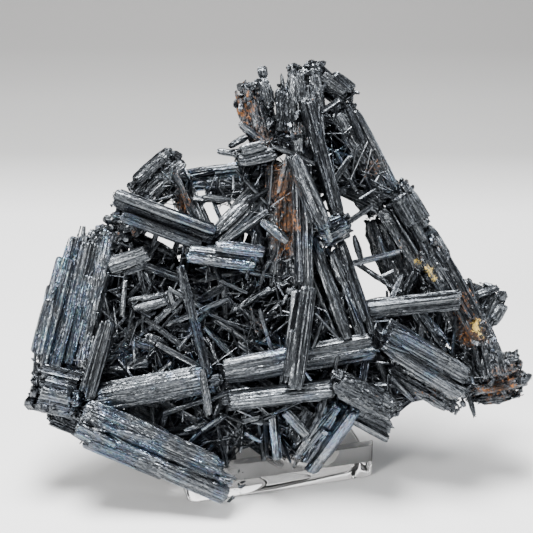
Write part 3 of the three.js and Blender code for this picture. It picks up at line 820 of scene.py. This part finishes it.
coverTrees = [readSolid(node)[2] for node in frame["nodes"] if node not in ("acrylic_stand", "putty")]


def covered(u, v):
    # whether a crystal of the CAD model lies somewhere behind this place on the face
    start = Vector(sprayPoint(u, 60, v))
    return any(tree.ray_cast(start, -faceOut, 120)[0] is not None for tree in coverTrees)


def staysClear(u1, v1, u2, v2, width):
    for share in np.linspace(0, 1, 15):
        u, v = u1 + (u2 - u1) * share, v1 + (v2 - v1) * share
        for left, right, low, high in openings:
            edge = width / 2
            if left - edge < u < right + edge and low - edge < v < high + edge:
                return False
    return True


def fitsIn(u, v, corners):
    return insidePolygon(u, v, corners) or covered(u, v)


def fillWith(rng, region, kind):
    # ends of the crystals of one kind that lie in a region, given as (start, end, width)
    corners = region["corners"]
    box = np.array(corners)
    sizes = smallCrystal[kind]
    made = []
    tries = 0
    while len(made) < region[kind] and tries < region[kind] * 30:
        tries += 1
        u, v = rng.uniform(box.min(0), box.max(0))
        if not insidePolygon(u, v, corners):
            continue
        length = sizes["length"][0] + (sizes["length"][1] - sizes["length"][0]) * rng.uniform() ** 1.4
        width = sizes["width"][0] + (sizes["width"][1] - sizes["width"][0]) * rng.uniform() ** 1.5
        angle = rng.uniform(0, math.pi)
        du, dv = math.cos(angle) * length / 2, math.sin(angle) * length / 2
        if not staysClear(u - du, v - dv, u + du, v + dv, width):
            continue
        if not (fitsIn(u - du, v - dv, corners) and fitsIn(u + du, v + dv, corners)):
            continue
        if kind == "large":
            front = -rng.uniform(1.0, 2.0 + region["back"])
        elif kind == "middling":
            front = rng.uniform(-0.6, 0.75) * region["front"]
        else:
            front = rng.uniform(-0.3, 1.0) * region["front"]
        lean = rng.normal(0, sizes["tilt"]) * length / 2
        start, end = sprayPoint(u - du, front - lean, v - dv), sprayPoint(u + du, front + lean, v + dv)
        if min(start[2], end[2]) > 5.5:
            made.append((start, end, width))
    return made


fillPieces = []
for number, (kind, slots) in enumerate((
    ("large", ("stibnite", "stibnite_weathered", "stibnite")),
    ("middling", ("stibnite", "stibnite_bright", "stibnite", "stibnite_weathered", "stibnite_tarnished")),
)):
    rng = np.random.default_rng(500 + number)
    sets = {slot: Strands() for slot in sorted(set(slots))}
    count = 0
    for name, region in fillRegions.items():
        for start, end, width in fillWith(rng, region, kind):
            slot = slots[count % len(slots)]
            count += 1
            # the large crystals, which lie behind, are painted much darker, and the middling ones darker the
            # further back they lie: painted shade
            depth = np.array(start + end - 2 * sprayFoot) @ sprayOut / 2
            brightnessAndPaintedShade = -2.2 if kind == "large" else min(0.4, -0.9 + 0.3 * depth)
            bladeBetween(sets[slot], rng, start, end, width, width * rng.uniform(0.55, 0.95), slot,
                         1.5 if kind == "large" else 1.15, rng.uniform(0, 0.5, 2), brightnessAndPaintedShade)
    for slot, strands in sets.items():
        piece = addObject(kind + "_" + slot, strands.toMesh(kind + "_" + slot))
        piece.data.materials.append(materials[slot])
        fillPieces.append((piece, slot))
    print(kind, "crystals between the bundles:", count)


# ---- fine needles and crusts: shapes set by Geometry Nodes ----

needleShapes = bpy.data.collections.new("needleShapes")
shardShapes = bpy.data.collections.new("shardShapes")


def smallShape(collection, name, seed, sides, stations, sizes):
    # a unit blade along Z, one wide and one long, centred; scaled where it is placed
    rng = np.random.default_rng(seed)
    strands = Strands()
    angles = np.arange(sides) * 2 * math.pi / sides + rng.uniform(-0.25, 0.25, sides)
    flat = rng.uniform(0.45, 0.9)
    bumps = rng.uniform(0.8, 1.15, sides)
    shape = np.stack([np.cos(angles) * 0.5 * bumps, np.sin(angles) * 0.5 * flat * bumps], 1)
    slope = rng.uniform(-0.12, 0.12, 2)
    tone = rng.uniform(-1.4, 0.8) + 0.7 * rng.uniform(-1, 1, sides)
    rings = []
    for station, scale in zip(stations, sizes):
        corner = shape * scale
        z = station + corner @ slope * (abs(station) > 0.45)
        place = np.stack([corner[:, 0], corner[:, 1], z], 1)
        rings.append(strands.addRing(place, place * (1.4, 1.4, 12) + seed * 7.3, tone))
    for below, above in zip(rings[:-1], rings[1:]):
        strands.joinRings(below, above, sides)
    strands.faces.append(tuple(rings[0] + j for j in reversed(range(sides))))
    strands.faces.append(tuple(rings[-1] + j for j in range(sides)))
    collection.objects.link(bpy.data.objects.new(name, strands.toMesh(name, 1.0)))


for number in range(6):
    smallShape(needleShapes, "needleShape" + str(number), 40 + number, 7,
               (-0.5, -0.48, 0.05, 0.46, 0.5), (0.5, 1.0, 0.96, 0.92, 0.4))
    smallShape(shardShapes, "shardShape" + str(number), 60 + number, 5,
               (-0.5, -0.3, 0.25, 0.5), (0.55, 1.0, 0.9, 0.35))


def socketsOf(tree, rows):
    for name, kind, value in rows:
        made = tree.interface.new_socket(name, in_out="INPUT", socket_type=kind)
        if value is not None:
            made.default_value = value
    tree.interface.new_socket("Geometry", in_out="OUTPUT", socket_type="NodeSocketGeometry")
    return tree.nodes.new("NodeGroupInput"), tree.nodes.new("NodeGroupOutput")


def randomNode(tree, given, low, high, offset, kind="FLOAT"):
    # a random number for each point, its seed the tree's own plus an offset
    made = tree.nodes.new("FunctionNodeRandomValue")
    made.data_type = kind
    first = 0 if kind == "FLOAT_VECTOR" else 2
    for socket, value in ((made.inputs[first], low), (made.inputs[first + 1], high)):
        if isinstance(value, (int, float, tuple)):
            socket.default_value = value
        else:
            link(tree, value, socket)
    link(tree, mathNode(tree, "ADD", given.outputs["Seed"], offset), made.inputs["Seed"])
    return made.outputs[0 if kind == "FLOAT_VECTOR" else 1]


def placeShapes(tree, given, result, points, turn, size):
    # a shape of the collection on each point, made real, in one finish
    shapes = tree.nodes.new("GeometryNodeCollectionInfo")
    shapes.inputs["Separate Children"].default_value = True
    link(tree, given.outputs["Shapes"], shapes.inputs["Collection"])
    place = tree.nodes.new("GeometryNodeInstanceOnPoints")
    place.inputs["Pick Instance"].default_value = True
    link(tree, points, place.inputs["Points"])
    link(tree, shapes.outputs[0], place.inputs["Instance"])
    link(tree, turn, place.inputs["Rotation"])
    link(tree, size, place.inputs["Scale"])
    real = tree.nodes.new("GeometryNodeRealizeInstances")
    link(tree, place.outputs["Instances"], real.inputs["Geometry"])
    finish = tree.nodes.new("GeometryNodeSetMaterial")
    link(tree, real.outputs["Geometry"], finish.inputs["Geometry"])
    link(tree, given.outputs["Material"], finish.inputs["Material"])
    link(tree, finish.outputs["Geometry"], result.inputs["Geometry"])


def buildNeedleTree():
    # points carry each needle's turn; its width varies a little by chance round the width it carries
    tree = bpy.data.node_groups.new("needlesOnPoints", "GeometryNodeTree")
    given, result = socketsOf(tree, (
        ("Geometry", "NodeSocketGeometry", None), ("Flattest", "NodeSocketFloat", 0.6),
        ("Seed", "NodeSocketInt", 0), ("Shapes", "NodeSocketCollection", None),
        ("Material", "NodeSocketMaterial", None),
    ))
    turn = tree.nodes.new("GeometryNodeInputNamedAttribute")
    turn.data_type = "FLOAT_VECTOR"
    turn.inputs["Name"].default_value = "turn"
    size = tree.nodes.new("GeometryNodeInputNamedAttribute")
    size.data_type = "FLOAT_VECTOR"
    size.inputs["Name"].default_value = "size"
    squash = tree.nodes.new("ShaderNodeCombineXYZ")
    squash.inputs["X"].default_value = 1
    squash.inputs["Z"].default_value = 1
    link(tree, randomNode(tree, given, given.outputs["Flattest"], 1.0, 21), squash.inputs["Y"])
    scaled = tree.nodes.new("ShaderNodeVectorMath")
    scaled.operation = "MULTIPLY"
    link(tree, size.outputs[0], scaled.inputs[0])
    link(tree, squash.outputs[0], scaled.inputs[1])
    placeShapes(tree, given, result, given.outputs["Geometry"], turn.outputs[0], scaled.outputs[0])
    return tree


def buildShardTree():
    # shards stand at random on a solid's faces, most of them small
    tree = bpy.data.node_groups.new("shardsOnFaces", "GeometryNodeTree")
    given, result = socketsOf(tree, (
        ("Geometry", "NodeSocketGeometry", None), ("Density", "NodeSocketFloat", 100000.0),
        ("Smallest", "NodeSocketFloat", 0.0005), ("Largest", "NodeSocketFloat", 0.002),
        ("Longest", "NodeSocketFloat", 2.2), ("Seed", "NodeSocketInt", 0),
        ("Shapes", "NodeSocketCollection", None), ("Material", "NodeSocketMaterial", None),
    ))
    scatter = tree.nodes.new("GeometryNodeDistributePointsOnFaces")
    link(tree, given.outputs["Geometry"], scatter.inputs["Mesh"])
    link(tree, given.outputs["Density"], scatter.inputs["Density"])
    link(tree, given.outputs["Seed"], scatter.inputs["Seed"])
    turn = randomNode(tree, given, (0, 0, 0), (2 * math.pi,) * 3, 31, "FLOAT_VECTOR")
    share = mathNode(tree, "POWER", randomNode(tree, given, 0.0, 1.0, 32), 2.2)
    spread = mathNode(tree, "SUBTRACT", given.outputs["Largest"], given.outputs["Smallest"])
    width = mathNode(tree, "ADD", given.outputs["Smallest"], mathNode(tree, "MULTIPLY", share, spread))
    length = mathNode(tree, "MULTIPLY", width, randomNode(tree, given, 0.9, given.outputs["Longest"], 33))
    size = tree.nodes.new("ShaderNodeCombineXYZ")
    for socket, value in (("X", width), ("Y", width), ("Z", length)):
        link(tree, value, size.inputs[socket])
    placeShapes(tree, given, result, scatter.outputs["Points"], turn, size.outputs[0])
    return tree


def setInputs(modifier, values):
    for item in modifier.node_group.interface.items_tree:
        if item.item_type == "SOCKET" and item.in_out == "INPUT" and item.name in values:
            modifier[item.identifier] = values[item.name]


def grownFrom(name, base, tree, values):
    # the tree's result on a base mesh, as a mesh of its own
    carrier = addObject(name + "Carrier", base)
    modifier = carrier.modifiers.new("grow", "NODES")
    modifier.node_group = tree
    setInputs(modifier, values)
    bpy.context.view_layer.update()
    evaluated = carrier.evaluated_get(bpy.context.evaluated_depsgraph_get())
    mesh = bpy.data.meshes.new_from_object(evaluated)
    carrier.modifiers.remove(modifier)
    bpy.data.objects.remove(carrier)
    mesh.name = name
    return addObject(name, mesh)


def needlePoints(name, rows):
    # one point for each needle, with its turn and its size in metres
    mesh = bpy.data.meshes.new(name)
    mesh.from_pydata([((start + end) / 2 * mm).tolist() for start, end, width in rows], [], [])
    turns, sizes = [], []
    for start, end, width in rows:
        run = Vector(end - start)
        turns.append(run.to_track_quat("Z", "Y").to_euler()[:])
        sizes.append((width * mm, width * mm, run.length * mm))
    for label, values in (("turn", turns), ("size", sizes)):
        made = mesh.attributes.new(label, "FLOAT_VECTOR", "POINT")
        made.data.foreach_set("vector", np.array(values, np.float32).ravel())
    return mesh


needleTree = buildNeedleTree()
shardTree = buildShardTree()
needleSets = {
    "needle_tangle": (["left", "middle", "waist", "corner", "lowLeft", "foot"], "stibnite", 701),
    "right_needle_tangle": (["right", "rightFoot"], "stibnite", 702),
    "upper_needles": (["shoulder", "cavern", "neck"], "stibnite", 703),
}
needlePieces = {}
for name, (regions, slot, seed) in needleSets.items():
    rng = np.random.default_rng(seed)
    rows = [row for region in regions for row in fillWith(rng, fillRegions[region], "fine")]
    piece = grownFrom(name, needlePoints(name + "Points", rows), needleTree, {
        "Flattest": 0.5, "Seed": seed, "Shapes": needleShapes, "Material": materials[slot],
    })
    needlePieces[name] = (piece, slot)
    print(name, "needles:", len(rows))

# crusts of shards: the nodes they sit on, how many on a square millimetre, and their size
crusts = {
    "rust_crust": {
        "nodes": ["turret", "brown_druse", "ridge_lower", "ridge_inner", "right_toes", "rust_column",
                  "shoulder_leg"],
        "slot": "stibnite_rusty", "density": 0.30, "size": (0.35, 1.9), "longest": 2.0,
    },
    "grey_crust": {
        "nodes": ["crown_post", "crown_bundle", "left_corner", "right_knob", "ridge_mid", "ridge_foot",
                  "shoulder_crystal", "under_left_ridge", "turret_plate", "ridge_upper",
                  "right_blade_under", "ridge_web", "low_bar", "knot", "ridge_shoulder"],
        "slot": "stibnite_weathered", "density": 0.22, "size": (0.35, 2.0), "longest": 2.6,
    },
    "lumps": {
        "nodes": ["left_corner", "right_toes", "right_knob", "crown_post", "turret", "ridge_foot",
                  "brown_druse", "shoulder_crystal", "ridge_mid"],
        "slot": "stibnite", "density": 0.075, "size": (1.2, 4.0), "longest": 1.6,
    },
    "bright_crust": {
        "nodes": ["left_slab", "lower_left_blade", "upper_left_blade", "right_blade", "left_corner",
                  "crown_post", "waist_blade_right", "right_knob", "bottom_bundle"],
        "slot": "stibnite_bright", "density": 0.10, "size": (0.25, 1.0), "longest": 3.2,
    },
}


def joinedSolids(name, nodes):
    solid = bmesh.new()
    for node in nodes:
        solid.from_mesh(frame["nodes"][node].data)
    bmesh.ops.remove_doubles(solid, verts=solid.verts, dist=1e-7)
    mesh = bpy.data.meshes.new(name)
    solid.to_mesh(mesh)
    solid.free()
    return mesh


crustPieces = []
for number, (name, crust) in enumerate(crusts.items()):
    piece = grownFrom(name, joinedSolids(name + "Base", crust["nodes"]), shardTree, {
        "Density": crust["density"] / mm**2,
        "Smallest": crust["size"][0] * mm, "Largest": crust["size"][1] * mm, "Longest": crust["longest"],
        "Seed": 800 + number, "Shapes": shardShapes, "Material": materials[crust["slot"]],
    })
    crustPieces.append((piece, crust["slot"]))
    print(name, "faces:", len(piece.data.polygons))

# the crystals of the back stand among others like them
backRegion = {"corners": [(-56, 70), (-20, 84), (10, 96), (34, 86), (54, 52), (50, 34), (20, 24), (-10, 16),
                          (-44, 28)], "large": 70, "middling": 110, "back": 0, "front": 0}
rng = np.random.default_rng(900)
strands = Strands()
for kind, fine in (("large", 1.6), ("middling", 1.6)):
    for start, end, width in fillWith(rng, backRegion, kind):
        shift = sprayOut * -rng.uniform(8, 17)
        if min((start + shift)[2], (end + shift)[2]) > 8:
            bladeBetween(strands, rng, start + shift, end + shift, width, width * rng.uniform(0.6, 0.95),
                         "stibnite", fine, rng.uniform(0, 0.5, 2))
backPiece = addObject("back_crystals", strands.toMesh("back_crystals"))
backPiece.data.materials.append(materials["stibnite"])
print("crystals behind, faces:", len(backPiece.data.polygons))


# ---- the putty ----

putty = {
    "grain": 0.00035,        # the mesh's own step, metres
    "lumpSize": 0.0028,
    "lumpHeight": 0.0012,
    "color": (0.95, 0.94, 0.92),
    "hollows": (0.86, 0.84, 0.82),
}


def makePuttyMaterial():
    material, tree, shader = newMaterial("putty")
    place = objectPlace(tree)
    soft = rampNode(tree, noiseNode(tree, place, 260.0, 4.0, 0.6), [
        (0.3, putty["hollows"]),
        (0.6, putty["color"]),
    ])
    link(tree, soft, shader.inputs["Base Color"])
    shader.inputs["Roughness"].default_value = 0.75
    shader.inputs["Subsurface Weight"].default_value = 0.15
    shader.inputs["Subsurface Radius"].default_value = (0.002, 0.0015, 0.001)
    bump = tree.nodes.new("ShaderNodeBump")
    bump.inputs["Distance"].default_value = 0.0003
    bump.inputs["Strength"].default_value = 0.3
    link(tree, noiseNode(tree, place, 900.0, 5.0, 0.7), bump.inputs["Height"])
    link(tree, bump.outputs["Normal"], shader.inputs["Normal"])
    return material


def mergedCopy(node, name):
    solid = bmesh.new()
    solid.from_mesh(frame["nodes"][node].data)
    bmesh.ops.remove_doubles(solid, verts=solid.verts, dist=1e-6)
    mesh = bpy.data.meshes.new(name)
    solid.to_mesh(mesh)
    solid.free()
    return addObject(name, mesh)


def applyModifiers(piece):
    bpy.context.view_layer.update()
    evaluated = piece.evaluated_get(bpy.context.evaluated_depsgraph_get())
    mesh = bpy.data.meshes.new_from_object(evaluated)
    piece.modifiers.clear()
    old = piece.data
    piece.data = mesh
    bpy.data.meshes.remove(old)


puttyPiece = mergedCopy("putty", "putty_lump")
remesh = puttyPiece.modifiers.new("remesh", "REMESH")
remesh.mode = "VOXEL"
remesh.voxel_size = putty["grain"]
smoother = puttyPiece.modifiers.new("smooth", "SMOOTH")
smoother.iterations = 6
lumps = bpy.data.textures.new("puttyLumps", "CLOUDS")
lumps.noise_scale = putty["lumpSize"]
lumps.noise_depth = 3
push = puttyPiece.modifiers.new("lumps", "DISPLACE")
push.texture = lumps
push.texture_coords = "GLOBAL"
push.strength = putty["lumpHeight"]
push.mid_level = 0.5
applyModifiers(puttyPiece)
puttyPiece.data.shade_smooth()
puttyPiece.data.materials.clear()
puttyPiece.data.materials.append(makePuttyMaterial())
print("putty pressed:", len(puttyPiece.data.polygons))


# ---- the acrylic stand ----

stand = {
    "edgeRound": 0.0003,      # metres
    "ior": 1.49,
    "smears": (0.0, 0.03),    # roughness where it is clean and where it is smeared
}


def makeAcrylic():
    material, tree, shader = newMaterial("acrylic")
    shader.inputs["Base Color"].default_value = (1.0, 1.0, 1.0, 1)
    shader.inputs["Transmission Weight"].default_value = 1.0
    shader.inputs["IOR"].default_value = stand["ior"]
    place = objectPlace(tree)
    smear = noiseNode(tree, place, 90.0, 3.0, 0.5)
    link(tree, rangeNode(tree, smear, 0.45, 0.75, *stand["smears"]), shader.inputs["Roughness"])
    return material


standPiece = mergedCopy("acrylic_stand", "clear_stand")
edge = standPiece.modifiers.new("edge", "BEVEL")
edge.width = stand["edgeRound"]
edge.segments = 3
edge.limit_method = "ANGLE"
edge.angle_limit = math.radians(40)
edge.harden_normals = True
standPiece.data.shade_smooth()
applyModifiers(standPiece)
standPiece.data.materials.clear()
standPiece.data.materials.append(makeAcrylic())
print("stand ready")


# ---- rust and ochre stains: where they lie on the face, how wide, and how strong ----

stains = {
    "rustStain": [
        (1.5, 93.0, 5.0, 1.2), (3.0, 84.0, 4.5, 1.2), (0.5, 76.0, 4.5, 0.9), (-10.0, 118.0, 5.0, 0.9),
        (-6.0, 108.0, 4.0, 0.7), (54.5, 60.0, 4.5, 0.9), (57.0, 50.0, 4.0, 1.2), (66.0, 34.0, 7.0, 0.9),
        (28.0, 100.0, 5.0, 0.9), (-46.0, 81.0, 5.0, 0.4), (-28.0, 90.0, 4.5, 0.8), (40.0, 72.0, 5.0, 0.4),
        (0.0, 100.0, 4.0, 0.8), (6.0, 112.0, 5.0, 0.4), (-6.0, 52.0, 6.0, 0.5), (46.0, 33.0, 6.0, 0.4),
    ],
    "ochreStain": [
        (41.1, 71.7, 1.7, 1.0), (44.4, 69.3, 1.9, 1.0), (45.9, 66.3, 1.6, 1.0), (58.5, 52.5, 2.3, 1.2),
        (60.0, 49.5, 1.5, 0.8), (51.0, 31.0, 2.2, 0.6), (-2.5, 97.5, 1.6, 0.8),
    ],
}


def addStains(mesh):
    points = np.zeros(len(mesh.vertices) * 3, np.float32)
    mesh.vertices.foreach_get("co", points)
    points = points.reshape(-1, 3).astype(float) / mm - sprayFoot
    face = np.stack([points @ sprayAcross, points @ sprayUp], 1)
    for name, rows in stains.items():
        total = np.zeros(len(face))
        for u, v, radius, strength in rows:
            away = np.linalg.norm(face - (u, v), axis=1) / radius
            total += strength * np.exp(-away**2)
        made = mesh.attributes.new(name, "FLOAT", "POINT")
        made.data.foreach_set("value", total.astype(np.float32))


stibnitePieces = [piece for piece, node, slot in crystalPieces]
stibnitePieces += [piece for piece, slot in crossingPieces + fillPieces + crustPieces]
stibnitePieces += [piece for piece, slot in needlePieces.values()] + [backPiece]
for piece in stibnitePieces:
    addStains(piece.data)
print("stained pieces:", len(stibnitePieces))


# ---- riding and replaced solids ----

for piece, node, slot in crystalPieces:
    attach(piece, "root")
    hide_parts(node)
for piece, slot in crossingPieces + fillPieces + crustPieces + [(backPiece, "stibnite")]:
    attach(piece, "root")
for name, (piece, slot) in needlePieces.items():
    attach(piece, "root")
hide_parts("needles")
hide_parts("right_needles")
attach(puttyPiece, "root")
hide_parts("putty")
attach(standPiece, "root")
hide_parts("acrylic_stand")


# ---- floor, backdrop, light and camera ----

studio = {
    # the paper's colour from the front of the floor to the top of the backdrop, darker the further back and
    # higher it lies: painted shade
    "paperColorAndPaintedShade": [(0.0, (0.87, 0.868, 0.864)), (0.16, (0.80, 0.798, 0.795)), (0.30, (0.72, 0.719, 0.717)),
              (0.42, (0.68, 0.679, 0.677)), (0.47, (0.52, 0.518, 0.515)), (0.53, (0.35, 0.348, 0.345)),
              (0.62, (0.30, 0.298, 0.294)), (0.70, (0.215, 0.212, 0.209)), (1.0, (0.185, 0.182, 0.179))],
    "paintedShadeReach": (-0.12, 0.65),
    "floorDrop": 0.0003,     # the floor lies just under the stand, clear of its underside
    "world": 0.20,
    "aim": (0, 0, 0.06),
    # each light: where it stands, its size, its watts and its colour
    "lights": {
        "overhead": ((-0.08, 0.04, 0.70), (0.32, 0.30), 18.0, (1, 1, 1)),
        "frontLeft": ((-0.55, -0.55, 0.55), (0.16, 0.16), 6.5, (1.0, 0.99, 0.97)),
        "rightSide": ((0.60, -0.10, 0.40), (0.14, 0.40), 2.6, (0.95, 0.97, 1.0)),
    },
}


def makeSweep():
    # a floor that curves up into a backdrop, and up again some way behind the camera
    drop = studio["floorDrop"]
    profile = [(-1.55, 1.6), (-1.5, 0.5), (-1.45, 0.25), (-1.3, 0.07), (-1.1, -drop), (0.30, -drop)]
    for i in range(1, 13):
        angle = i / 12 * math.pi / 2
        profile.append((0.30 + 0.35 * math.sin(angle), 0.35 - 0.35 * math.cos(angle) - drop))
    profile.append((0.65, 1.6))
    points = [(x, y, z) for y, z in profile for x in (-2.6, 2.6)]
    faces = [(2 * i, 2 * i + 1, 2 * i + 3, 2 * i + 2) for i in range(len(profile) - 1)]
    mesh = bpy.data.meshes.new("sweep")
    mesh.from_pydata(points, [], faces)
    mesh.shade_smooth()
    material, tree, shader = newMaterial("paper")
    place = objectPlace(tree)
    parts = tree.nodes.new("ShaderNodeSeparateXYZ")
    link(tree, place, parts.inputs[0])
    # the paper is painted darker from the front of the floor to the top of the backdrop: painted shade
    near, far = studio["paintedShadeReach"]
    rise = mathNode(tree, "MULTIPLY", mathNode(tree, "SUBTRACT", parts.outputs["Y"], near), 1 / (far - near))
    link(tree, rampNode(tree, rise, studio["paperColorAndPaintedShade"]), shader.inputs["Base Color"])
    shader.inputs["Roughness"].default_value = 0.9
    mesh.materials.append(material)
    return addObject("sweep", mesh)


makeSweep()


for name, (place, size, power, color) in studio["lights"].items():
    light = bpy.data.lights.new(name, "AREA")
    light.shape = "RECTANGLE"
    light.size, light.size_y = size
    light.energy = power
    light.color = color
    lamp = addObject(name, light)
    lamp.location = place
    lamp.rotation_euler = (Vector(studio["aim"]) - Vector(place)).to_track_quat("-Z", "Y").to_euler()

world = bpy.data.worlds.new("room")
world.use_nodes = True
background = world.node_tree.nodes["Background"]
background.inputs["Color"].default_value = (0.92, 0.95, 1.0, 1)
background.inputs["Strength"].default_value = studio["world"]
bpy.context.scene.world = world

view = {
    "aim": (0.00095, 0.0005, 0.0640),
    "distance": 0.40,
    "width": 0.16,       # what the frame takes in at the spray
    "elevation": 24,
}
lens = bpy.data.cameras.new("camera")
lens.sensor_width = 36
lens.lens = 36 * view["distance"] / view["width"]
camera = addObject("camera", lens)
lift = math.radians(view["elevation"])
camera.location = Vector(view["aim"]) + view["distance"] * Vector((0, -math.cos(lift), math.sin(lift)))
camera.rotation_euler = (math.pi / 2 - lift, 0, 0)
lens.clip_start = 0.01
bpy.context.scene.camera = camera

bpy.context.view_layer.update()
